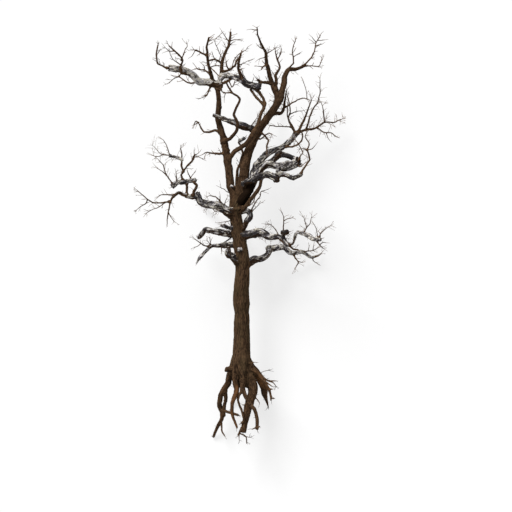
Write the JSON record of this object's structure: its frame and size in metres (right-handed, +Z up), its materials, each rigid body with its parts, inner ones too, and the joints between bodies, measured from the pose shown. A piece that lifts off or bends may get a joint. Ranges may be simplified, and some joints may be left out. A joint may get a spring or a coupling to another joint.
{
  "type": "bare dead broadleaf tree with exposed roots",
  "caption": "Whole dead tree lying on its side: tall straight trunk with a root flare, bare tangled roots, and a leafless crown of crooked, partly bleached boughs.",
  "frame": {"origin": "on the floor, under the centre of the bounding box of the lying tree", "axes": "+Y along the trunk from the roots to the crown, +Z up from the floor, +X to the right seen from above with the crown away"},
  "size_m": [10.204, 20.3106, 5.0074],
  "materials": {
    "trunk_bark": "coarse dark brown bark with long fissures",
    "bark": "rough brown bark on stems and slender limbs",
    "weathered_wood": "bleached grey wood above, dark bark beneath",
    "root_bark": "dark brown root bark"
  },
  "bodies": {
    "root": {"trunk": "trunk_bark", "stem_left": "bark", "stem_right": "bark", "stem_side": "bark", "top_left": "bark", "top_mid": "bark", "top_right": "bark", "top_right_tip": "bark", "elbow": "bark", "head_left": "weathered_wood", "head_right": "weathered_wood", "head_tip": "bark", "head_riser": "bark", "spike_left": "bark", "spike_mid": "bark", "spike_right": "bark", "cross_limb": "weathered_wood", "arch_low": "bark", "arch_high": "bark", "zigzag": "bark", "squiggle": "bark", "bough_upper": "weathered_wood", "bough_middle": "weathered_wood", "bough_bar": "weathered_wood", "bough_fat": "weathered_wood", "bough_low": "weathered_wood", "bough_low_riser": "weathered_wood", "bough_low_tail": "weathered_wood", "strut": "bark", "knot_right": "weathered_wood", "crown_right_a": "bark", "crown_right_b": "bark", "crown_right_c": "bark", "left_crook": "weathered_wood", "left_cup": "weathered_wood", "left_out": "bark", "left_bar": "weathered_wood", "left_post": "bark", "left_shoot": "bark", "left_fork": "bark", "left_mid": "weathered_wood", "left_low": "weathered_wood", "left_stub": "weathered_wood", "right_upper": "weathered_wood", "right_upper_out": "weathered_wood", "right_lower": "weathered_wood", "right_lower_out": "weathered_wood", "back_left": "weathered_wood", "back_right": "weathered_wood", "back_centre": "bark", "back_high": "bark", "root_left": "root_bark", "root_left_inner": "root_bark", "root_front_left": "root_bark", "root_centre": "root_bark", "root_thick": "root_bark", "root_right": "root_bark", "root_side": "root_bark", "root_back_left": "root_bark", "root_back_right": "root_bark"}
  },
  "joints": []
}
